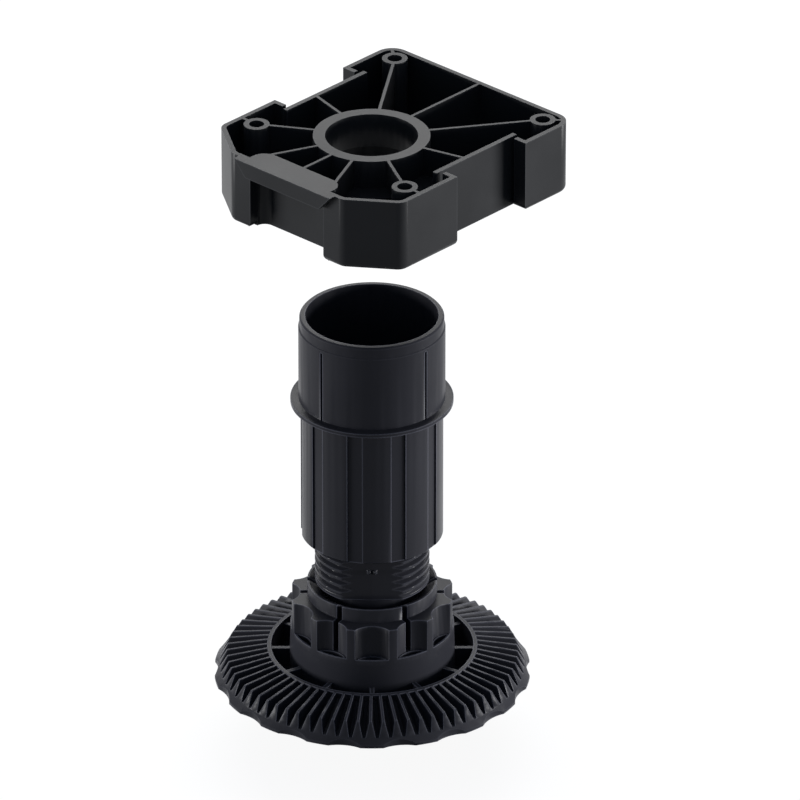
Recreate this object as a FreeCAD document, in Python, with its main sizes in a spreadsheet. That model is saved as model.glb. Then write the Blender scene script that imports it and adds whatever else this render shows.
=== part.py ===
"""Kitchen cabinet leg: screw-on bracket, fluted tube, adjusting screw and toothed foot.

Millimetres, +Z up. The origin is on the leg's axis, on the floor under the foot.
The bracket is drawn pulled off the tube, straight above it.
"""
import math
import os

import FreeCAD, Part
import Sketcher
from FreeCAD import Placement, Rotation, Vector

# Driving dimensions: name, value, meaning
SIZES = [
    ("clearance", 0.3, "gap between pieces that move against each other"),
    # foot
    ("foot_radius", 47.9, "outer edge of the foot, at its crests"),
    ("edge_height", 0.9, "height of that edge"),
    ("base_floor", 2.0, "floor of the ring-shaped well round the hub"),
    ("wave_count", 18, "notches round the foot's edge"),
    ("wave_depth", 1.3, "depth of a notch"),
    ("wave_radius", 12.0, "radius of a notch"),
    ("wave_turn", 3.0, "angle of the first notch"),
    ("well_radius", 30.6, "inside of the wall round the well"),
    ("well_wall", 0.9, "thickness of that wall"),
    ("well_top", 9.2, "top of that wall, and of the teeth beside it"),
    ("tooth_count", 72, "radial teeth on the foot"),
    ("tooth_fall", 2.2, "how far a tooth's crest falls towards the edge"),
    ("tooth_end", 1.6, "distance of a tooth's outer end from the foot's edge"),
    ("tooth_nose", 2.4, "length of a tooth's steep nose"),
    ("tooth_tip", 2.4, "height of a tooth's outer end"),
    ("groove_land", 0.3, "land between the well wall and the grooves that part the teeth"),
    ("groove_depth", 2.0, "depth of a groove beside that land"),
    ("groove_end", 2.5, "height of a groove's floor at the teeth's outer ends"),
    ("groove_floor", 0.95, "width of a groove's floor"),
    ("groove_slope", 0.3, "slope of a groove's flanks"),
    ("crown_wall", 1.9, "thickness under the grooves' inner ends"),
    ("rim_width", 3.4, "flat rim under the foot's edge"),
    ("spoke_count", 12, "webs between the hub and the well wall"),
    ("spoke_width", 1.4, "thickness of a web"),
    ("spoke_drop", 1.2, "how far a web's top lies under the well wall's top"),
    ("hub_radius", 24.75, "lobes of the hub"),
    ("hub_skirt", 25.2, "foot of the hub's flared skirt"),
    ("hub_shelf", 17.1, "shelf under the hub's scallops"),
    ("shelf_edge", 2.0, "upright edge of that shelf"),
    ("lobe_height", 10.1, "height of the scallops"),
    ("scallop_count", 12, "scallops round the hub"),
    ("scallop_radius", 6.5, "radius of a scallop"),
    ("scallop_depth", 3.1, "depth of a scallop"),
    ("scallop_turn", 13.0, "angle of the first scallop"),
    ("eye_edge", 0.5, "thin edge round the hollow in a scallop's shelf"),
    ("eye_depth", 1.6, "depth of that hollow"),
    ("finger_height", 4.4, "snap ring above the lobes"),
    ("finger_radius", 19.6, "outside of the snap ring"),
    ("finger_edge", 0.6, "flat top edge of the snap ring"),
    ("finger_cone", 2.2, "depth of the snap ring's funnel"),
    ("finger_lip", 1.2, "lip that holds the screw, under the lobes' top"),
    ("slit_count", 6, "slits that make the snap fingers"),
    ("slit_width", 1.8, "width of a slit"),
    ("slit_turn", 43.0, "angle of the first slit"),
    ("socket_floor", 8.0, "floor of the socket for the screw"),
    ("socket_base", 2.6, "thickness under the socket"),
    ("under_radius", 21.0, "hollow under the hub"),
    ("under_boss", 6.0, "boss in the middle of that hollow"),
    ("under_rib_count", 6, "ribs in that hollow"),
    ("under_rib", 1.6, "thickness of those ribs"),
    # adjusting screw
    ("screw_radius", 17.3, "outside of the screw's thread"),
    ("screw_bore", 13.0, "bore of the screw"),
    ("neck_radius", 15.0, "neck between the bead and the thread"),
    ("bead_radius", 17.7, "bead at the foot of the screw"),
    ("neck_show", 1.0, "neck that shows above the snap ring"),
    ("thread_length", 47.7, "threaded length"),
    ("thread_lead_in", 1.2, "bevel at the top of the thread"),
    ("flat_depth", 2.1, "depth of the flats that interrupt the thread"),
    ("flat_turn", -47.0, "direction that the first flat faces"),
    # tube
    ("screw_out", 16.6, "gap between the snap ring and the tube"),
    ("barrel_length", 44.6, "fluted barrel, up to the collar"),
    ("barrel_radius", 21.4, "outside of the barrel"),
    ("flute_count", 10, "flutes round the barrel"),
    ("flute_width", 4.5, "width of a flute"),
    ("flute_floor", 20.75, "distance of a flute's floor from the axis"),
    ("flute_turn", 11.0, "angle of the first flute"),
    ("collar_radius", 24.45, "collar"),
    ("collar_height", 1.5, "collar's height"),
    ("collar_edge", 1.2, "collar's upright edge"),
    ("spigot_length", 27.2, "spigot above the collar"),
    ("spigot_radius", 22.0, "outside of the spigot"),
    ("spigot_bore", 19.9, "bore of the spigot"),
    ("lead_in_length", 3.4, "narrower top of the spigot"),
    ("lead_in_depth", 0.35, "step of the spigot's top"),
    ("rim_bevel", 0.5, "bevel of the rim"),
    ("key_count", 4, "thin grooves on the spigot"),
    ("key_start", 4.6, "distance of those grooves from the rim"),
    ("key_width", 0.8, "width of such a groove"),
    ("key_depth", 0.5, "depth of such a groove"),
    ("nut_length", 42.0, "narrow bore that takes the screw"),
    ("nut_cone", 2.6, "cone between the two bores"),
    # bracket
    ("pulled_off", 37.3, "gap between the tube's rim and the bracket"),
    ("bracket_height", 22.6, "height of the bracket"),
    ("half_width", 37.0, "half the bracket's width"),
    ("back_wall", 48.2, "distance of the back wall from the leg's axis"),
    ("front_wall", 36.6, "distance of the front wall from the leg's axis"),
    ("corner_long", 14.8, "cut corner, along the front"),
    ("corner_short", 10.5, "cut corner, along the side"),
    ("corner_round", 5.5, "rounded back corners"),
    ("edge_round", 4.0, "rounded edges of the cut corners"),
    ("base_round", 1.6, "rounded lower edge"),
    ("wall", 1.5, "walls and floor"),
    ("hole_pitch_x", 60.0, "screw holes, across"),
    ("hole_pitch_y", 60.0, "screw holes, front to back"),
    ("hole_centre_y", 12.2, "middle of the screw holes behind the leg's axis"),
    ("hole_radius", 2.25, "screw holes"),
    ("boss_radius", 3.85, "bosses round the screw holes"),
    ("clip_width", 29.6, "mouth of the clip slots"),
    ("clip_depth", 6.0, "depth of the clip slots"),
    ("clip_undercut", 2.6, "how far the clip slots reach behind their lips"),
    ("clip_lip", 4.6, "lips of the clip slots, from the outer face"),
    ("clip_round", 2.0, "rounded lower corners beside the clip slots"),
    ("niche_round", 3.0, "rounded inner corners of the front slot"),
    ("rib", 0.9, "ribs and webs"),
    ("front_rib_x", 13.2, "slanted front ribs, at the front slot"),
    ("side_rib_y", 7.9, "side ribs, at the side slots"),
    ("ring_radius", 17.4, "ring at the middle of the ribs"),
    ("ring_hole", 13.8, "hole in that ring"),
    ("socket_depth", 12.0, "socket for the tube's spigot"),
    ("socket_wall", 1.7, "wall round the socket"),
    ("socket_roof", 1.8, "roof of the socket"),
    ("plate_half", 19.4, "half the length of the front plate"),
    ("plate_height", 5.0, "height of the front plate"),
    ("plate_reach", 2.1, "how far the plate stands out of the front wall"),
    ("plate_bevel", 4.5, "slant of the plate's ends"),
]

doc = FreeCAD.newDocument("cabinet_leg")
sheet = doc.addObject("Spreadsheet::Sheet", "dim")
for row, (name, value, meaning) in enumerate(SIZES, 1):
    sheet.set(f"A{row}", meaning)
    sheet.set(f"B{row}", str(value))
    sheet.setAlias(f"B{row}", name)
doc.recompute()

# Levels and distances that several pieces share, as expressions of the sheet's cells
LOBE_TOP = "(dim.hub_shelf + dim.lobe_height)"
RING_TOP = f"({LOBE_TOP} + dim.finger_height)"
CUP_RADIUS = "(dim.bead_radius + dim.clearance)"
LIP_RADIUS = "(dim.neck_radius + dim.clearance)"
LIP_UNDER = f"({LOBE_TOP} - dim.finger_lip)"
TUBE_FOOT = f"({RING_TOP} + dim.screw_out)"
BARREL_TOP = f"({TUBE_FOOT} + dim.barrel_length)"
COLLAR_TOP = f"({BARREL_TOP} + dim.collar_height)"
RIM = f"({COLLAR_TOP} + dim.spigot_length)"
NUT_RADIUS = "(dim.screw_radius + dim.clearance)"
NUT_TOP = f"({TUBE_FOOT} + dim.nut_length)"
BRACKET_FOOT = f"({RIM} + dim.pulled_off)"
BRACKET_TOP = f"({BRACKET_FOOT} + dim.bracket_height)"
SOCKET_RADIUS = "(dim.spigot_radius + dim.clearance)"


def number(expression):
    """Value of an expression of the sheet's cells."""
    return float(sheet.evalExpression(expression))


def negative(expression):
    return f"-({expression})"


def new_body(label):
    body = doc.addObject("PartDesign::Body", label)
    body.Label = label
    return body


def origin_plane(body, role):
    return next(item for item in body.Origin.OriginFeatures if item.Role == role)


def new_sketch(body, name, role="XY_Plane", height=None, turn=None):
    """Sketch on one of the body's origin planes, raised or turned about +Z."""
    sketch = body.newObject("Sketcher::SketchObject", name)
    sketch.AttachmentSupport = [(origin_plane(body, role), "")]
    sketch.MapMode = "FlatFace"
    if turn:
        upright = Vector(0, 0, 1) if role == "XY_Plane" else Vector(0, 1, 0)
        sketch.AttachmentOffset = Placement(Vector(), Rotation(upright, number(turn)))
        sketch.setExpression("AttachmentOffset.Rotation.Angle", turn)
    if height:
        sketch.setExpression("AttachmentOffset.Base.z", height)
    return sketch


def pin(sketch, geometry, point, x=None, y=None):
    """Ties a point of the sketch to expressions."""
    for axis, kind, expression in ((-2, "DistanceX", x), (-1, "DistanceY", y)):
        if expression is None:
            continue
        if expression == "0":
            sketch.addConstraint(Sketcher.Constraint("PointOnObject", geometry, point, axis))
            continue
        constraint = Sketcher.Constraint(kind, -1, 1, geometry, point, number(expression))
        index = sketch.addConstraint(constraint)
        sketch.setExpression(f"Constraints[{index}]", expression)


def polygon(sketch, corners):
    """Closed outline through corners given as pairs of expressions."""
    points = [Vector(number(x), number(y), 0) for x, y in corners]
    first = sketch.GeometryCount
    count = len(points)
    for index in range(count):
        sketch.addGeometry(Part.LineSegment(points[index], points[(index + 1) % count]))
    for index in range(count):
        join(sketch, first + index, 2, first + (index + 1) % count, 1)
    for index, (x, y) in enumerate(corners):
        pin(sketch, first + index, 1, x, y)


def rectangle(sketch, x0, x1, y0, y1):
    polygon(sketch, [(x0, y0), (x1, y0), (x1, y1), (x0, y1)])


def set_radius(sketch, geometry, radius):
    size = sketch.addConstraint(Sketcher.Constraint("Radius", geometry, number(radius)))
    sketch.setExpression(f"Constraints[{size}]", radius)


def join(sketch, geometry, point, other, other_point):
    sketch.addConstraint(Sketcher.Constraint("Coincident", geometry, point, other, other_point))


def plain_circle(x, y, radius):
    return Part.Circle(Vector(x, y, 0), Vector(0, 0, 1), radius)


def circle(sketch, x, y, radius):
    index = sketch.addGeometry(plain_circle(number(x), number(y), number(radius)))
    pin(sketch, index, 3, x, y)
    set_radius(sketch, index, radius)


def lens(sketch, x, near, far):
    """Outline shared by a circle of radius near about (x, 0) and one of radius far about the origin."""
    place, inner, outer = number(x), number(near), number(far)
    meeting = (outer ** 2 - inner ** 2 + place ** 2) / (2 * place)
    narrow = math.acos((place - meeting) / inner)
    wide = math.acos(meeting / outer)
    hollow_side = Part.ArcOfCircle(plain_circle(place, 0, inner), math.pi - narrow, math.pi + narrow)
    first = sketch.addGeometry(hollow_side)
    second = sketch.addGeometry(Part.ArcOfCircle(plain_circle(0, 0, outer), -wide, wide))
    pin(sketch, first, 3, x, "0")
    pin(sketch, second, 3, "0", "0")
    set_radius(sketch, first, near)
    set_radius(sketch, second, far)
    join(sketch, first, 1, second, 2)
    join(sketch, first, 2, second, 1)


def corner_cut(sketch, x, y, sign, radius):
    """What rounding takes off a lower corner at (x, y); sign points to the solid's side."""
    end_x = f"{x} {sign} {radius}"
    end_y = f"{y} + {radius}"
    corner = Vector(number(x), number(y), 0)
    base_end = Vector(number(end_x), number(y), 0)
    side_end = Vector(number(x), number(end_y), 0)
    base = sketch.addGeometry(Part.LineSegment(corner, base_end))
    side = sketch.addGeometry(Part.LineSegment(corner, side_end))
    start = math.pi if sign == "+" else math.pi * 1.5
    rounding = plain_circle(base_end.x, side_end.y, number(radius))
    arc = sketch.addGeometry(Part.ArcOfCircle(rounding, start, start + math.pi / 2))
    join(sketch, base, 1, side, 1)
    pin(sketch, base, 1, x, y)
    pin(sketch, base, 2, end_x, y)
    pin(sketch, side, 2, x, end_y)
    first, last = (side, base) if sign == "+" else (base, side)
    join(sketch, arc, 1, first, 2)
    join(sketch, arc, 2, last, 2)
    pin(sketch, arc, 3, x=end_x)


def strip(sketch, start, end, width):
    """Straight web of a given width between two points."""
    (x0, y0), (x1, y1) = start, end
    length = f"sqrt(({x1} - ({x0}))^2 + ({y1} - ({y0}))^2)"
    across_x = f"({width}) / 2 * ({y1} - ({y0})) / {length}"
    across_y = f"({width}) / 2 * ({x1} - ({x0})) / {length}"
    polygon(sketch, [
        (f"{x0} + {across_x}", f"{y0} - {across_y}"),
        (f"{x1} + {across_x}", f"{y1} - {across_y}"),
        (f"{x1} - {across_x}", f"{y1} + {across_y}"),
        (f"{x0} - {across_x}", f"{y0} + {across_y}"),
    ])


def finish(body, feature):
    body.Tip = feature
    doc.recompute()
    return feature


def pad(body, sketch, length, both_sides=False):
    feature = body.newObject("PartDesign::Pad", sketch.Name + "_pad")
    feature.Profile = sketch
    feature.setExpression("Length", length)
    feature.Midplane = both_sides
    return finish(body, feature)


def pocket(body, sketch, length, both_sides=False):
    """Cut upwards from the sketch's plane; a cut that removes nothing is an error."""
    before = body.Shape.Volume
    feature = body.newObject("PartDesign::Pocket", sketch.Name + "_pocket")
    feature.Profile = sketch
    feature.Reversed = True
    feature.Midplane = both_sides
    feature.setExpression("Length", length)
    finish(body, feature)
    if body.Shape.Volume >= before:
        raise RuntimeError(f"{feature.Name} removes nothing")
    return feature


def falling_pocket(body, sketch, run, drop):
    """Cut along the sketch's normal that also falls, by a drop over its run."""
    before = body.Shape.Volume
    feature = body.newObject("PartDesign::Pocket", sketch.Name + "_pocket")
    feature.Profile = sketch
    feature.UseCustomVector = True
    feature.Direction = Vector(number(run), 0, -number(drop))
    feature.setExpression("Direction.x", run)
    feature.setExpression("Direction.z", negative(drop))
    feature.AlongSketchNormal = True
    feature.setExpression("Length", run)
    finish(body, feature)
    if body.Shape.Volume >= before:
        raise RuntimeError(f"{feature.Name} removes nothing")
    return feature


def revolve(body, sketch):
    feature = body.newObject("PartDesign::Revolution", sketch.Name + "_revolution")
    feature.Profile = sketch
    feature.ReferenceAxis = (sketch, ["V_Axis"])
    feature.Angle = 360
    return finish(body, feature)


def ring_of(body, count, *features):
    """Repeats features evenly about the leg's axis."""
    pattern = body.newObject("PartDesign::PolarPattern", features[-1].Name + "_ring")
    pattern.Originals = list(features)
    axis = next(item for item in body.Origin.OriginFeatures if item.Role == "Z_Axis")
    pattern.Axis = (axis, [""])
    pattern.Angle = 360
    pattern.setExpression("Occurrences", count)
    return finish(body, pattern)


def round_edges(body, feature, radius, wanted):
    """Fillets the edges of a feature that a test picks out."""
    names = [f"Edge{i}" for i, edge in enumerate(feature.Shape.Edges, 1) if wanted(edge)]
    fillet = body.newObject("PartDesign::Fillet", feature.Name + "_round")
    fillet.Base = (feature, names)
    fillet.setExpression("Radius", radius)
    return finish(body, fillet)


def make_foot():
    """Toothed foot with its scalloped hub and snap socket, one moulding."""
    body = new_body("foot")
    well_outer = "dim.well_radius + dim.well_wall"
    under_top = "dim.socket_floor - dim.socket_base"
    tooth_end = "dim.foot_radius - dim.tooth_end"
    crest_end = "dim.well_top - dim.tooth_fall"
    groove_start = f"({well_outer} + dim.groove_land)"
    groove_top = "(dim.well_top - dim.groove_depth)"
    groove_run = f"({tooth_end} - {groove_start})"
    groove_drop = f"({groove_top} - dim.groove_end)"
    profile = new_sketch(body, "foot_profile", "XZ_Plane")
    polygon(profile, [
        ("0", "0"),
        ("dim.under_boss", "0"),
        ("dim.under_boss", under_top),
        ("dim.under_radius", under_top),
        ("dim.under_radius", "0"),
        (well_outer, "0"),
        (well_outer, f"{groove_top} - dim.crown_wall"),
        ("dim.foot_radius - dim.rim_width", "0"),
        ("dim.foot_radius", "0"),
        ("dim.foot_radius", "dim.edge_height"),
        (tooth_end, "dim.tooth_tip"),
        (f"{tooth_end} - dim.tooth_nose", crest_end),
        (well_outer, "dim.well_top"),
        ("dim.well_radius", "dim.well_top"),
        ("dim.well_radius", "dim.base_floor"),
        ("dim.hub_skirt", "dim.base_floor"),
        ("dim.hub_radius", "dim.hub_shelf - dim.shelf_edge"),
        ("dim.hub_radius", LOBE_TOP),
        ("dim.finger_radius", LOBE_TOP),
        ("dim.finger_radius", RING_TOP),
        ("dim.finger_radius - dim.finger_edge", RING_TOP),
        (LIP_RADIUS, f"{RING_TOP} - dim.finger_cone"),
        (LIP_RADIUS, LIP_UNDER),
        (CUP_RADIUS, LIP_UNDER),
        (CUP_RADIUS, "dim.socket_floor"),
        ("0", "dim.socket_floor"),
    ])
    revolve(body, profile)

    under_rib = new_sketch(body, "under_rib", turn="dim.scallop_turn")
    rectangle(under_rib, "dim.under_boss / 2", "(dim.under_radius + dim.hub_skirt) / 2",
              "-dim.under_rib / 2", "dim.under_rib / 2")
    rib = pad(body, under_rib, "dim.socket_floor - dim.socket_base / 2")
    ring_of(body, "dim.under_rib_count", rib)

    scallop = new_sketch(body, "scallop", height="dim.hub_shelf", turn="dim.scallop_turn")
    scallop_place = "dim.hub_radius - dim.scallop_depth + dim.scallop_radius"
    circle(scallop, scallop_place, "0", "dim.scallop_radius")
    ring_of(body, "dim.scallop_count", pocket(body, scallop, "dim.lobe_height"))
    eye = new_sketch(body, "shelf_eye", height="dim.hub_shelf - dim.eye_depth", turn="dim.scallop_turn")
    lens(eye, scallop_place, "dim.scallop_radius - dim.eye_edge", "dim.hub_radius - dim.eye_edge")
    ring_of(body, "dim.scallop_count", pocket(body, eye, "dim.eye_depth"))

    slit = new_sketch(body, "slit", height="dim.hub_shelf", turn="dim.slit_turn")
    rectangle(slit, "dim.screw_bore", "dim.hub_radius", "-dim.slit_width / 2", "dim.slit_width / 2")
    ring_of(body, "dim.slit_count", pocket(body, slit, f"{RING_TOP} - dim.hub_shelf"))

    spoke = new_sketch(body, "spoke", height="dim.base_floor / 2", turn="dim.scallop_turn")
    rectangle(spoke, "dim.hub_radius", "dim.well_radius + dim.well_wall / 2",
              "-dim.spoke_width / 2", "dim.spoke_width / 2")
    spoke_height = "dim.well_top - dim.spoke_drop - dim.base_floor / 2"
    ring_of(body, "dim.spoke_count", pad(body, spoke, spoke_height))

    wave = new_sketch(body, "wave", turn="dim.wave_turn")
    circle(wave, "dim.foot_radius - dim.wave_depth + dim.wave_radius", "0", "dim.wave_radius")
    ring_of(body, "dim.wave_count", pocket(body, wave, "dim.well_top"))

    # grooves fall away from the well wall and leave the teeth between them
    groove = new_sketch(body, "groove", "YZ_Plane", height=groove_start)
    floor_half = "dim.groove_floor / 2"
    groove_height = "(dim.well_top - dim.groove_end)"
    mouth_half = f"{floor_half} + dim.groove_slope * {groove_height}"
    mouth = f"{groove_top} + {groove_height}"
    polygon(groove, [
        (negative(floor_half), groove_top),
        (floor_half, groove_top),
        (mouth_half, mouth),
        (negative(mouth_half), mouth),
    ])
    groove_length = f"{groove_run} + dim.tooth_end"
    groove_fall = f"{groove_drop} * ({groove_length}) / {groove_run}"
    ring_of(body, "dim.tooth_count", falling_pocket(body, groove, groove_length, groove_fall))
    return body


def make_screw():
    """Hollow adjusting screw; its bead sits in the foot's snap socket."""
    body = new_body("adjusting_screw")
    foot = "dim.socket_floor + dim.clearance"
    bead_top = f"{LIP_UNDER} - dim.clearance"
    thread_foot = f"{RING_TOP} + dim.neck_show"
    thread_top = f"{thread_foot} + dim.thread_length"
    profile = new_sketch(body, "screw_profile", "XZ_Plane")
    polygon(profile, [
        ("dim.screw_bore", foot),
        ("dim.bead_radius", foot),
        ("dim.bead_radius", bead_top),
        ("dim.neck_radius", bead_top),
        ("dim.neck_radius", thread_foot),
        ("dim.screw_radius", thread_foot),
        ("dim.screw_radius", f"{thread_top} - dim.thread_lead_in"),
        ("dim.screw_radius - dim.thread_lead_in", thread_top),
        ("dim.screw_bore", thread_top),
    ])
    revolve(body, profile)

    flat = new_sketch(body, "screw_flat", height=thread_foot, turn="dim.flat_turn")
    inner = "dim.screw_radius - dim.flat_depth"
    rectangle(flat, inner, "dim.screw_radius + dim.flat_depth",
              "-dim.screw_radius", "dim.screw_radius")
    ring_of(body, "2", pocket(body, flat, "dim.thread_length"))
    return body


def make_tube():
    """Fluted barrel with a collar and the spigot that plugs into the bracket."""
    body = new_body("tube")
    profile = new_sketch(body, "tube_profile", "XZ_Plane")
    polygon(profile, [
        (NUT_RADIUS, TUBE_FOOT),
        ("dim.barrel_radius - dim.rim_bevel", TUBE_FOOT),
        ("dim.barrel_radius", f"{TUBE_FOOT} + dim.rim_bevel"),
        ("dim.barrel_radius", BARREL_TOP),
        ("dim.collar_radius", BARREL_TOP),
        ("dim.collar_radius", f"{BARREL_TOP} + dim.collar_edge"),
        ("dim.spigot_radius", COLLAR_TOP),
        ("dim.spigot_radius", f"{RIM} - dim.lead_in_length - dim.lead_in_depth"),
        ("dim.spigot_radius - dim.lead_in_depth", f"{RIM} - dim.lead_in_length"),
        ("dim.spigot_radius - dim.lead_in_depth", f"{RIM} - dim.rim_bevel"),
        ("dim.spigot_radius - dim.lead_in_depth - dim.rim_bevel", RIM),
        ("dim.spigot_bore", RIM),
        ("dim.spigot_bore", f"{NUT_TOP} + dim.nut_cone"),
        (NUT_RADIUS, NUT_TOP),
    ])
    revolve(body, profile)

    flute = new_sketch(body, "flute", height=TUBE_FOOT, turn="dim.flute_turn")
    rectangle(flute, "dim.flute_floor", "dim.collar_radius",
              "-dim.flute_width / 2", "dim.flute_width / 2")
    ring_of(body, "dim.flute_count", pocket(body, flute, "dim.barrel_length - dim.rim_bevel"))

    key = new_sketch(body, "key", height=COLLAR_TOP)
    rectangle(key, "dim.spigot_radius - dim.key_depth", "dim.spigot_radius + dim.key_depth",
              "-dim.key_width / 2", "dim.key_width / 2")
    key_length = "dim.spigot_length - dim.key_start"
    ring_of(body, "dim.key_count", pocket(body, key, key_length))
    return body


def make_bracket():
    """Ribbed bracket with four screw bosses, three clip slots and the spigot's socket."""
    body = new_body("bracket")
    front = negative("dim.front_wall")
    side_turn = negative("dim.front_wall - dim.corner_short")
    front_turn = "dim.half_width - dim.corner_long"

    outline = new_sketch(body, "bracket_outline", height=BRACKET_FOOT)
    polygon(outline, [
        (front_turn, front),
        ("dim.half_width", side_turn),
        ("dim.half_width", "dim.back_wall"),
        ("-dim.half_width", "dim.back_wall"),
        ("-dim.half_width", side_turn),
        (negative(front_turn), front),
    ])
    block = pad(body, outline, "dim.bracket_height")

    def upright(edge):
        return abs(edge.tangentAt(edge.FirstParameter).z) > 0.99

    def at_back(edge):
        return edge.CenterOfMass.y > number("dim.hole_centre_y")

    block = round_edges(body, block, "dim.corner_round", lambda e: upright(e) and at_back(e))
    block = round_edges(body, block, "dim.edge_round",
                        lambda e: upright(e) and not at_back(e))

    top = number(BRACKET_TOP)
    bottom = number(BRACKET_FOOT)
    top_face = next(f"Face{i}" for i, face in enumerate(block.Shape.Faces, 1)
                    if abs(face.CenterOfMass.z - top) < 1e-6)
    shell = body.newObject("PartDesign::Thickness", "bracket_shell")
    shell.Base = (block, [top_face])
    shell.setExpression("Value", "dim.wall")
    shell.Reversed = True
    finish(body, shell)
    round_edges(body, shell, "dim.base_round", lambda e: abs(e.BoundBox.ZMax - bottom) < 1e-6)

    # clip slots: mouth, inner wall and lips, on both sides and at the front
    half_mouth = "dim.clip_width / 2"
    side_low = f"dim.hole_centre_y - {half_mouth}"
    side_high = f"dim.hole_centre_y + {half_mouth}"
    side_floor = "dim.half_width - dim.clip_depth"
    front_floor = "dim.front_wall - dim.clip_depth"

    mouths = new_sketch(body, "clip_mouths", height=BRACKET_FOOT)
    rectangle(mouths, side_floor, "dim.half_width + dim.wall", side_low, side_high)
    rectangle(mouths, negative("dim.half_width + dim.wall"), negative(side_floor), side_low, side_high)
    pocket(body, mouths, "dim.bracket_height")

    walls = new_sketch(body, "clip_walls", height=BRACKET_FOOT)
    reach = f"{half_mouth} + dim.clip_undercut"
    wall_low = f"dim.hole_centre_y - ({reach})"
    wall_high = f"dim.hole_centre_y + {reach}"
    side_back = f"{side_floor} - dim.wall"
    rectangle(walls, side_back, side_floor, wall_low, wall_high)
    rectangle(walls, negative(side_floor), negative(side_back), wall_low, wall_high)
    pad(body, walls, "dim.bracket_height")

    lips = new_sketch(body, "clip_lips", height=f"{BRACKET_FOOT} + dim.wall / 2")
    lip_end = "dim.half_width - dim.clip_lip"
    lip_root = "dim.half_width - dim.wall / 2"
    for low, high in ((f"{side_low} - dim.wall", side_low), (side_high, f"{side_high} + dim.wall")):
        rectangle(lips, lip_end, lip_root, low, high)
        rectangle(lips, negative(lip_root), negative(lip_end), low, high)
    pad(body, lips, "dim.bracket_height - dim.wall / 2")

    # the front slot is a niche whose wall bends round at its inner corners
    def inner_corner(x, y):
        return lambda e: (upright(e) and abs(abs(e.CenterOfMass.x) - number(x)) < 1e-6
                          and abs(e.CenterOfMass.y - number(y)) < 1e-6)

    niche_half = f"{half_mouth} + dim.wall"
    niche_back = negative(f"{front_floor} - dim.wall")
    niche = new_sketch(body, "niche_wall", height=BRACKET_FOOT)
    rectangle(niche, negative(niche_half), niche_half,
              negative("dim.front_wall - dim.wall / 2"), niche_back)
    block = pad(body, niche, "dim.bracket_height")
    block = round_edges(body, block, "dim.niche_round + dim.wall", inner_corner(niche_half, niche_back))
    hollow = new_sketch(body, "niche", height=BRACKET_FOOT)
    rectangle(hollow, negative(half_mouth), half_mouth,
              negative("dim.front_wall + dim.wall"), negative(front_floor))
    block = pocket(body, hollow, "dim.bracket_height - dim.plate_height")
    round_edges(body, block, "dim.niche_round", inner_corner(half_mouth, negative(front_floor)))

    # plate on the front, over the niche
    plate_back = "dim.front_wall - dim.wall / 2"
    plate = new_sketch(body, "front_plate", "XZ_Plane", height=plate_back)
    plate_foot = f"{BRACKET_TOP} - dim.plate_height"
    plate_short = "dim.plate_half - dim.plate_bevel"
    polygon(plate, [
        (negative(plate_short), plate_foot),
        (plate_short, plate_foot),
        ("dim.plate_half", BRACKET_TOP),
        ("-dim.plate_half", BRACKET_TOP),
    ])
    pad(body, plate, "dim.plate_reach + dim.wall / 2")

    # rounded lower corners beside the slots
    outside = negative("dim.half_width + dim.wall")
    for name, start in (("right_corners", side_floor), ("left_corners", outside)):
        corners = new_sketch(body, name, "YZ_Plane", height=start)
        corner_cut(corners, side_low, BRACKET_FOOT, "-", "dim.clip_round")
        corner_cut(corners, side_high, BRACKET_FOOT, "+", "dim.clip_round")
        pocket(body, corners, "dim.clip_depth + dim.wall")
    corners = new_sketch(body, "front_corners", "XZ_Plane", height=f"{front_floor} + dim.niche_round")
    corner_cut(corners, negative(half_mouth), BRACKET_FOOT, "-", "dim.clip_round")
    corner_cut(corners, half_mouth, BRACKET_FOOT, "+", "dim.clip_round")
    pocket(body, corners, "dim.clip_depth - dim.niche_round + dim.wall")

    # bosses, ring and ribs
    inside = f"{BRACKET_FOOT} + dim.wall / 2"
    rib_height = "dim.bracket_height - dim.wall / 2"
    hole_x = "dim.hole_pitch_x / 2"
    hole_front = "dim.hole_centre_y - dim.hole_pitch_y / 2"
    hole_back = "dim.hole_centre_y + dim.hole_pitch_y / 2"
    holes = [(sign + hole_x, y) for sign in ("", "-") for y in (hole_front, hole_back)]

    bosses = new_sketch(body, "bosses", height=inside)
    for x, y in holes:
        circle(bosses, x, y, "dim.boss_radius")
    pad(body, bosses, rib_height)

    webs = new_sketch(body, "boss_webs", height=inside)
    wall_x = "dim.half_width - dim.wall / 2"
    corner_x = "dim.half_width - dim.corner_round / 3"
    corner_y = "dim.back_wall - dim.corner_round / 3"
    strip(webs, (hole_x, hole_front), (wall_x, hole_front), "dim.rib")
    strip(webs, (negative(hole_x), hole_front), (negative(wall_x), hole_front), "dim.rib")
    strip(webs, (hole_x, hole_back), (corner_x, corner_y), "dim.rib")
    strip(webs, (negative(hole_x), hole_back), (negative(corner_x), corner_y), "dim.rib")
    pad(body, webs, rib_height)

    ribs = new_sketch(body, "ribs", height=inside)
    front_stop = negative(f"{front_floor} - dim.wall / 2")
    side_stop = f"{side_floor} - dim.wall / 2"
    ends = holes + [
        ("0", front_stop),
        ("dim.front_rib_x", front_stop),
        ("-dim.front_rib_x", front_stop),
        (side_stop, "dim.side_rib_y"),
        (negative(side_stop), "dim.side_rib_y"),
        ("0", "dim.back_wall - dim.wall / 2"),
    ]
    ring_middle = "(dim.ring_radius + dim.ring_hole) / 2"
    for x, y in ends:
        length = f"sqrt(({x})^2 + ({y})^2)"
        start = (f"({x}) * {ring_middle} / {length}", f"({y}) * {ring_middle} / {length}")
        strip(ribs, start, (x, y), "dim.rib")
    pad(body, ribs, rib_height)

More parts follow.
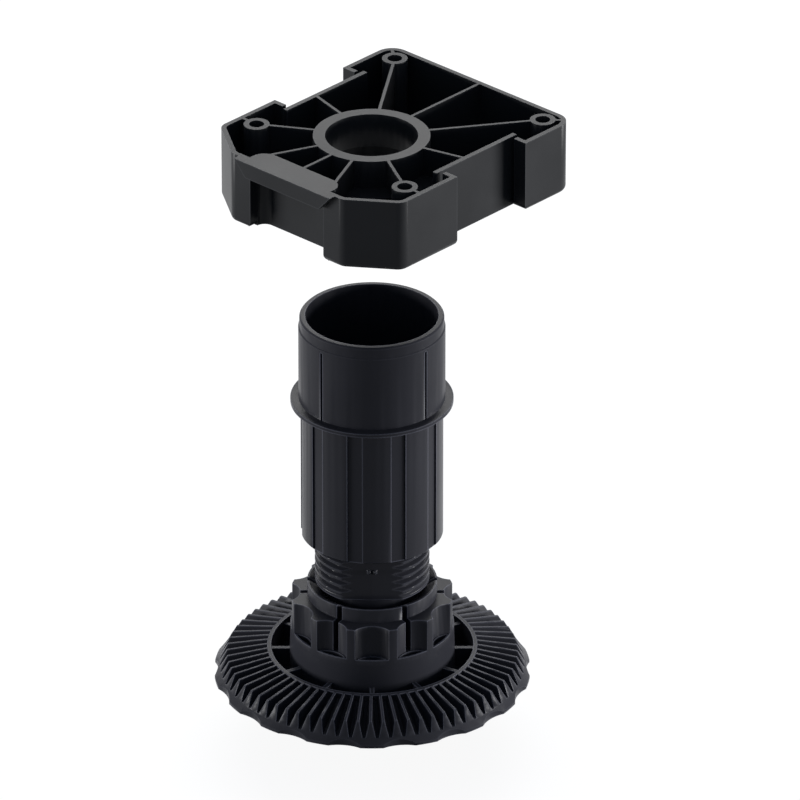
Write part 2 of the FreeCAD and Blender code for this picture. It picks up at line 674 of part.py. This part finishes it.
    # socket for the tube's spigot, under the ring
    jacket = new_sketch(body, "socket_jacket", height=BRACKET_FOOT)
    circle(jacket, "0", "0", f"{SOCKET_RADIUS} + dim.socket_wall")
    pad(body, jacket, "dim.socket_depth + dim.socket_roof")
    ring = new_sketch(body, "ring", height=f"{BRACKET_FOOT} + dim.socket_depth")
    circle(ring, "0", "0", "dim.ring_radius")
    pad(body, ring, "dim.bracket_height - dim.socket_depth")
    socket = new_sketch(body, "spigot_socket", height=BRACKET_FOOT)
    circle(socket, "0", "0", SOCKET_RADIUS)
    pocket(body, socket, "dim.socket_depth")
    hole = new_sketch(body, "ring_hole", height=BRACKET_FOOT)
    circle(hole, "0", "0", "dim.ring_hole")
    pocket(body, hole, "dim.bracket_height")
    screw_holes = new_sketch(body, "screw_holes", height=BRACKET_FOOT)
    for x, y in holes:
        circle(screw_holes, x, y, "dim.hole_radius")
    pocket(body, screw_holes, "dim.bracket_height")
    return body


bodies = [make_foot(), make_screw(), make_tube(), make_bracket()]
doc.recompute()

for item in doc.Objects:
    if {"Invalid", "Error"} & set(item.State):
        raise RuntimeError(f"{item.Name} failed: {item.State}")
os.makedirs("parts", exist_ok=True)
for body in bodies:
    shape = body.Shape
    if shape.isNull() or not shape.isValid() or len(shape.Solids) != 1:
        raise RuntimeError(f"{body.Label} is not one valid solid")
for body in bodies:
    body.Shape.exportStep(f"parts/{body.Label}.step")
    box = body.Shape.BoundBox
    print(f"{body.Label}: {body.Shape.Volume / 1000:.2f} cm3, "
          f"{box.XLength:.1f} x {box.YLength:.1f}, z {box.ZMin:.1f} to {box.ZMax:.1f}")
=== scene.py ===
"""Looks of the kitchen cabinet leg: black moulded plastic, a cut thread, soft studio light."""
import math

import bmesh
import bpy
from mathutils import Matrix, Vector


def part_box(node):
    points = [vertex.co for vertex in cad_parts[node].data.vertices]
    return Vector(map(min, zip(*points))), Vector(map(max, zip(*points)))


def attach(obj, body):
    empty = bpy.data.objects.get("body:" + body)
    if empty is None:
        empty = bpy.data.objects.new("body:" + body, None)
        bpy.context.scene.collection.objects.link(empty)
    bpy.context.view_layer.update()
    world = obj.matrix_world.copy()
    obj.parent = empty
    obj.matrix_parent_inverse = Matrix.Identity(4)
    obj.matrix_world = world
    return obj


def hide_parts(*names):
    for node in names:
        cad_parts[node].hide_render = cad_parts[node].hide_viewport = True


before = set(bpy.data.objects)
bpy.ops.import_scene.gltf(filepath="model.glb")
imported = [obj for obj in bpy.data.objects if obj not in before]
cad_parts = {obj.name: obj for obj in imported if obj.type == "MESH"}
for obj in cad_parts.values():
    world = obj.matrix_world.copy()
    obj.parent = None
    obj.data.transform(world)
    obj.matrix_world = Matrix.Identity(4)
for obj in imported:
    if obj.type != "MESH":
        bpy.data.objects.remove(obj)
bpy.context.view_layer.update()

MM = 0.001

# plastic: a colour is the blackness times a tint times a shade
BLACKNESS = 0.021
NEUTRAL = (1.03, 1.06, 1.13)
BLUISH = (0.97, 0.99, 1.22)
DARK_SHADE = 0.88
PALE_SHADE = 1.14
# painted highlight on outer edges, this many times as pale as the plain plastic
HIGHLIGHT_SHADE = 4.5
SPECULAR_LEVEL = 0.068
PLASTIC_IOR = 1.47
CLOUD_SCALE = 30.0          # per metre
CLOUD_DETAIL = 5.0
CLOUD_LOW = 0.3             # of the noise, where it is darkest
CLOUD_HIGH = 0.75           # and where it is palest
SMOOTHER = 0.04             # off the roughness in a dark cloud
ROUGHER = 0.06              # on the roughness in a pale cloud
GRAIN_SCALE = 900.0         # per metre
GRAIN_DETAIL = 3.0
GRAIN_HEIGHT = 0.2          # mm
EDGE_REACH = 0.5            # mm, width of the painted highlight along outer edges
EDGE_RAYS = 8
EDGE_BEGINS = 0.92          # share of the rays into the plastic that stay inside it, where the painted edge highlight begins
EDGE_FULL = 0.6             # and where it is full

# softened edges of the mouldings
WELD_DISTANCE = 1e-6        # m
SOFT_ANGLE = math.radians(32)

# adjusting screw, in mm
THREAD_LENGTH = 47.7
THREAD_PITCH = 2.5
THREAD_RADIUS = 17.3
THREAD_ROOT = 16.0
THREAD_LEAD_IN = 1.2
GROOVE_FLOOR = 0.1          # half of the groove's width at its floor, in pitches
GROOVE_MOUTH = 0.36         # and at its mouth
GROOVE_BEGINS = 0.7         # above the foot of the thread
GROOVE_FULL = 2.3
BEAD_RADIUS = 17.7
BEAD_HEIGHT = 17.4
BEAD_EDGE = 0.4
NECK_RADIUS = 15.0
BORE_RADIUS = 13.0
FLAT_DISTANCE = 15.2
FLAT_ROOF = 0.06            # slope of a flat's two halves, away from its middle
FLAT_TURN = math.radians(-47.0)
NUB_LEVEL = 9.7             # above the foot of the thread
NUB_ASIDE = 0.9             # its two tips, from the flat's middle
NUB_HALF_WIDTH = 0.75
NUB_HALF_HEIGHT = 0.85
NUB_PROUD = 0.9
COLUMNS = 288
ROW_HEIGHT = 0.17
CREASE_ANGLE = math.radians(30)

# camera, in metres: a long lens at the photograph's angle
AZIMUTH = 43.0
ELEVATION = 28.0
CAMERA_DISTANCE = 3.5
IMAGE_WIDTH = 0.2394        # width of the picture at the leg's axis
AIM_RIGHT = 0.0084          # middle of the picture, right of the leg's axis
AIM_HEIGHT = 0.0927
SENSOR_WIDTH = 36.0         # mm
NEAREST = 0.1
FARTHEST = 20.0

# studio
FLOOR_DEPTH = 18.4          # mm, under the foot's place at rest
FLOOR_HALF = 4.0            # m
FLOOR_GREY = 0.16
FLOOR_ROUGHNESS = 0.9
FLOOR_GLOW = 0.93           # where it is seen
WORLD_TINT = (0.72, 0.95, 1.35, 1)
WORLD_STRENGTH = 0.16
WHITE = (1, 1, 1, 1)
LAMP_AIM = 0.09             # m, height that the lamps point at
SIDE_BOX = (0.5, 0.24)      # m
BACK_BOX = (1.2, 0.5)


def ramp(value, low, high):
    """0 below low, 1 above high, straight between them."""
    return min(max((value - low) / (high - low), 0.0), 1.0)


def shade(tint, share):
    """Opaque colour of the plastic, share times as light as usual."""
    return [BLACKNESS * share * part for part in tint] + [1]


def plastic(name, tint, roughness, relief, edge_highlight):
    """Black moulded plastic: fine grain, faint flow clouds and outer edges painted paler as a highlight."""
    material = bpy.data.materials.new(name)
    material.use_nodes = True
    nodes, links = material.node_tree.nodes, material.node_tree.links
    shader = nodes["Principled BSDF"]
    shader.inputs["Specular IOR Level"].default_value = SPECULAR_LEVEL
    shader.inputs["IOR"].default_value = PLASTIC_IOR

    place = nodes.new("ShaderNodeTexCoord")
    clouds = nodes.new("ShaderNodeTexNoise")
    clouds.inputs["Scale"].default_value = CLOUD_SCALE
    clouds.inputs["Detail"].default_value = CLOUD_DETAIL
    links.new(place.outputs["Object"], clouds.inputs["Vector"])
    colour = nodes.new("ShaderNodeValToRGB")
    dark, pale = colour.color_ramp.elements
    dark.position, pale.position = CLOUD_LOW, CLOUD_HIGH
    dark.color = shade(tint, DARK_SHADE)
    pale.color = shade(tint, PALE_SHADE)
    links.new(clouds.outputs["Fac"], colour.inputs["Fac"])

    # outer edges painted paler: a painted highlight where the edges would catch the light, found by rays
    # into the plastic that soon leave it
    inside = nodes.new("ShaderNodeAmbientOcclusion")
    inside.inside = True
    inside.only_local = True
    inside.samples = EDGE_RAYS
    inside.inputs["Distance"].default_value = EDGE_REACH * MM
    edges = nodes.new("ShaderNodeMapRange")
    edges.inputs["From Min"].default_value = EDGE_BEGINS
    edges.inputs["From Max"].default_value = EDGE_FULL
    edges.inputs["To Max"].default_value = edge_highlight
    links.new(inside.outputs["AO"], edges.inputs["Value"])
    highlighted = nodes.new("ShaderNodeMix")
    highlighted.data_type = "RGBA"
    highlighted.inputs["B"].default_value = shade(tint, HIGHLIGHT_SHADE)
    links.new(edges.outputs["Result"], highlighted.inputs["Factor"])
    links.new(colour.outputs["Color"], highlighted.inputs["A"])
    links.new(highlighted.outputs["Result"], shader.inputs["Base Color"])

    gloss = nodes.new("ShaderNodeMapRange")
    gloss.inputs["From Min"].default_value = CLOUD_LOW
    gloss.inputs["From Max"].default_value = CLOUD_HIGH
    gloss.inputs["To Min"].default_value = roughness - SMOOTHER
    gloss.inputs["To Max"].default_value = roughness + ROUGHER
    links.new(clouds.outputs["Fac"], gloss.inputs["Value"])
    links.new(gloss.outputs["Result"], shader.inputs["Roughness"])

    grain = nodes.new("ShaderNodeTexNoise")
    grain.inputs["Scale"].default_value = GRAIN_SCALE
    grain.inputs["Detail"].default_value = GRAIN_DETAIL
    links.new(place.outputs["Object"], grain.inputs["Vector"])
    bump = nodes.new("ShaderNodeBump")
    bump.inputs["Strength"].default_value = relief
    bump.inputs["Distance"].default_value = GRAIN_HEIGHT * MM
    links.new(grain.outputs["Fac"], bump.inputs["Height"])
    links.new(bump.outputs["Normal"], shader.inputs["Normal"])
    return material


def dress(node, material, edge, steps):
    """Material and softened moulding edges, edge mm wide, for a solid of the frame."""
    node.data.materials.clear()
    node.data.materials.append(material)
    weld = node.modifiers.new("weld", "WELD")
    weld.merge_threshold = WELD_DISTANCE
    bevel = node.modifiers.new("soft_edges", "BEVEL")
    bevel.width = edge * MM
    bevel.segments = steps
    bevel.limit_method = "ANGLE"
    bevel.angle_limit = SOFT_ANGLE
    bevel.harden_normals = True


def nub_height(angle, height):
    """How far the nub's two tips stand out of the front flat, in mm; angle is from the flat's middle."""
    if math.cos(angle) <= 0.0:
        return 0.0
    aside = (FLAT_DISTANCE * abs(math.tan(angle)) - NUB_ASIDE) / NUB_HALF_WIDTH
    above = (height - NUB_LEVEL) / NUB_HALF_HEIGHT
    return NUB_PROUD * math.sqrt(max(1.0 - aside ** 2 - above ** 2, 0.0))


def thread_radius(angle, height):
    """Outside of the screw, in mm, at an angle from the front flat and a height above the thread's foot."""
    turn = (height / THREAD_PITCH - (angle + FLAT_TURN) / (2 * math.pi)) % 1.0
    groove = 1.0 - ramp(abs(turn - 0.5), GROOVE_FLOOR, GROOVE_MOUTH)
    groove *= ramp(height, GROOVE_BEGINS, GROOVE_FULL)
    cut = THREAD_RADIUS - groove * (THREAD_RADIUS - THREAD_ROOT)
    lead_in = THREAD_RADIUS - max(height - THREAD_LENGTH + THREAD_LEAD_IN, 0.0)
    flat = FLAT_DISTANCE / (abs(math.cos(angle)) + FLAT_ROOF * abs(math.sin(angle)))
    return min(cut, lead_in, flat) + nub_height(angle, height)


def screw_piece(material):
    """The adjusting screw with its right-hand thread, in place of the frame's plain stem."""
    low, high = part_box("adjusting_screw")
    start, end = low.z / MM, high.z / MM
    foot = end - THREAD_LENGTH
    bead_top = start + BEAD_HEIGHT
    angles = [2 * math.pi * column / COLUMNS for column in range(COLUMNS)]
    rings = [([radius] * COLUMNS, height) for radius, height in (
        (BORE_RADIUS, start),
        (BEAD_RADIUS - BEAD_EDGE, start),
        (BEAD_RADIUS, start + BEAD_EDGE),
        (BEAD_RADIUS, bead_top - BEAD_EDGE),
        (BEAD_RADIUS - BEAD_EDGE, bead_top),
        (NECK_RADIUS, bead_top),
        (NECK_RADIUS, foot),
    )]
    rows = round(THREAD_LENGTH / ROW_HEIGHT)
    for row in range(rows + 1):
        height = THREAD_LENGTH * row / rows
        rings.append(([thread_radius(angle, height) for angle in angles], foot + height))
    rings.append(([BORE_RADIUS] * COLUMNS, end))

    turns = [FLAT_TURN + angle for angle in angles]
    build = bmesh.new()
    loops = [[build.verts.new((r * math.cos(a) * MM, r * math.sin(a) * MM, z * MM))
              for r, a in zip(radii, turns)] for radii, z in rings]
    for lower, upper in zip(loops, loops[1:] + loops[:1]):
        for i in range(COLUMNS):
            j = (i + 1) % COLUMNS
            build.faces.new((lower[i], lower[j], upper[j], upper[i]))
    bmesh.ops.recalc_face_normals(build, faces=build.faces)
    for face in build.faces:
        face.smooth = True
    for edge in build.edges:
        edge.smooth = edge.calc_face_angle() < CREASE_ANGLE
    mesh = bpy.data.meshes.new("threaded_screw")
    build.to_mesh(mesh)
    build.free()
    mesh.materials.append(material)

    piece = bpy.data.objects.new("threaded_screw", mesh)
    bpy.context.scene.collection.objects.link(piece)
    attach(piece, "screw")
    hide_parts("adjusting_screw")


def seen_directly(tree):
    """1 for what the camera sees, also in gloss and through glass, and 0 for stray light."""
    path = tree.nodes.new("ShaderNodeLightPath")
    result = path.outputs["Is Camera Ray"]
    for kind in ("Is Glossy Ray", "Is Transmission Ray"):
        either = tree.nodes.new("ShaderNodeMath")
        either.operation = "MAXIMUM"
        tree.links.new(result, either.inputs[0])
        tree.links.new(path.outputs[kind], either.inputs[1])
        result = either.outputs[0]
    return result


def scaled(tree, value, low, high):
    """Maps 0 to 1 onto low to high."""
    span = tree.nodes.new("ShaderNodeMapRange")
    span.inputs["To Min"].default_value = low
    span.inputs["To Max"].default_value = high
    tree.links.new(value, span.inputs["Value"])
    return span.outputs["Result"]


def make_floor():
    """White floor that keeps the leg's shadow, just under the foot where the screw is run right out."""
    mesh = bpy.data.meshes.new("floor")
    corners = [(x * FLOOR_HALF, y * FLOOR_HALF, 0) for x, y in ((-1, -1), (1, -1), (1, 1), (-1, 1))]
    mesh.from_pydata(corners, [], [(0, 1, 2, 3)])
    floor = bpy.data.objects.new("floor", mesh)
    floor.location.z = -FLOOR_DEPTH * MM
    bpy.context.scene.collection.objects.link(floor)

    material = bpy.data.materials.new("pale_floor")
    material.use_nodes = True
    tree = material.node_tree
    shader = tree.nodes["Principled BSDF"]
    shader.inputs["Base Color"].default_value = (FLOOR_GREY, FLOOR_GREY, FLOOR_GREY, 1)
    shader.inputs["Roughness"].default_value = FLOOR_ROUGHNESS
    shader.inputs["Specular IOR Level"].default_value = 0.0
    shader.inputs["Emission Color"].default_value = WHITE
    glow = scaled(tree, seen_directly(tree), 0.0, FLOOR_GLOW)
    tree.links.new(glow, shader.inputs["Emission Strength"])
    material.cycles.emission_sampling = "NONE"
    mesh.materials.append(material)
    return floor


def make_world():
    """Faint bluish light from all round, white where it is seen."""
    world = bpy.data.worlds.new("studio")
    bpy.context.scene.world = world
    world.use_nodes = True
    tree = world.node_tree
    backdrop = tree.nodes["Background"]
    seen = seen_directly(tree)
    tint = tree.nodes.new("ShaderNodeMix")
    tint.data_type = "RGBA"
    tint.inputs["A"].default_value = WORLD_TINT
    tint.inputs["B"].default_value = WHITE
    tree.links.new(seen, tint.inputs["Factor"])
    tree.links.new(tint.outputs["Result"], backdrop.inputs["Color"])
    tree.links.new(scaled(tree, seen, WORLD_STRENGTH, 1.0), backdrop.inputs["Strength"])


def facing(azimuth, elevation=0.0):
    """Direction from the object towards something at that azimuth and elevation."""
    a, e = math.radians(azimuth), math.radians(elevation)
    return Vector((math.sin(a) * math.cos(e), -math.cos(a) * math.cos(e), math.sin(e)))


def aimed(name, data, target, away, distance):
    """Lamp or camera at a distance from its target, looking back at it."""
    thing = bpy.data.objects.new(name, data)
    thing.location = target + away * distance
    thing.rotation_mode = "QUATERNION"
    thing.rotation_quaternion = (-away).to_track_quat("-Z", "Y")
    bpy.context.scene.collection.objects.link(thing)
    return thing


def softbox(name, azimuth, elevation, distance, size, power):
    """Rectangular lamp that points at the leg."""
    light = bpy.data.lights.new(name, "AREA")
    light.shape = "RECTANGLE"
    light.size, light.size_y = size
    light.energy = power
    return aimed(name, light, Vector((0, 0, LAMP_AIM)), facing(azimuth, elevation), distance)


def keep_off(lamps, floor):
    """The low lamps light the leg and leave no streaks on the floor."""
    unlit = bpy.data.collections.new("unlit_floor")
    unlit.objects.link(floor)
    unlit.collection_objects[0].light_linking.link_state = "EXCLUDE"
    for lamp in lamps:
        lamp.light_linking.receiver_collection = unlit


def make_camera():
    """Long lens that takes in the photograph's frame."""
    lens = bpy.data.cameras.new("camera")
    lens.sensor_width = SENSOR_WIDTH
    lens.lens = SENSOR_WIDTH * CAMERA_DISTANCE / IMAGE_WIDTH
    lens.clip_start = NEAREST
    lens.clip_end = FARTHEST
    target = Vector((0, 0, AIM_HEIGHT)) + facing(AZIMUTH + 90) * AIM_RIGHT
    away = facing(AZIMUTH, ELEVATION)
    bpy.context.scene.camera = aimed("camera", lens, target, away, CAMERA_DISTANCE)


# the last argument sets how strongly the outer edges are painted paler as a highlight
neutral_black = plastic("neutral_black_moulding", NEUTRAL, roughness=0.31, relief=0.06, edge_highlight=0.25)
blue_black = plastic("blue_black_moulding", BLUISH, roughness=0.31, relief=0.06, edge_highlight=0.9)
smooth_black = plastic("blue_black_thread", BLUISH, roughness=0.25, relief=0.03, edge_highlight=0.7)
dress(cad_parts["bracket"], neutral_black, edge=0.3, steps=2)
dress(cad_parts["tube"], blue_black, edge=0.35, steps=3)
dress(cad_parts["foot"], blue_black, edge=0.25, steps=2)
screw_piece(smooth_black)

make_world()
left = softbox("left_softbox", AZIMUTH - 88, elevation=2, distance=1.0, size=SIDE_BOX, power=11.0)
right = softbox("right_softbox", AZIMUTH + 87, elevation=2, distance=1.0, size=SIDE_BOX, power=16.5)
keep_off((left, right), make_floor())
softbox("back_softbox", AZIMUTH + 180, elevation=36, distance=1.1, size=BACK_BOX, power=9.5)
make_camera()
bpy.context.scene.view_settings.view_transform = "Standard"
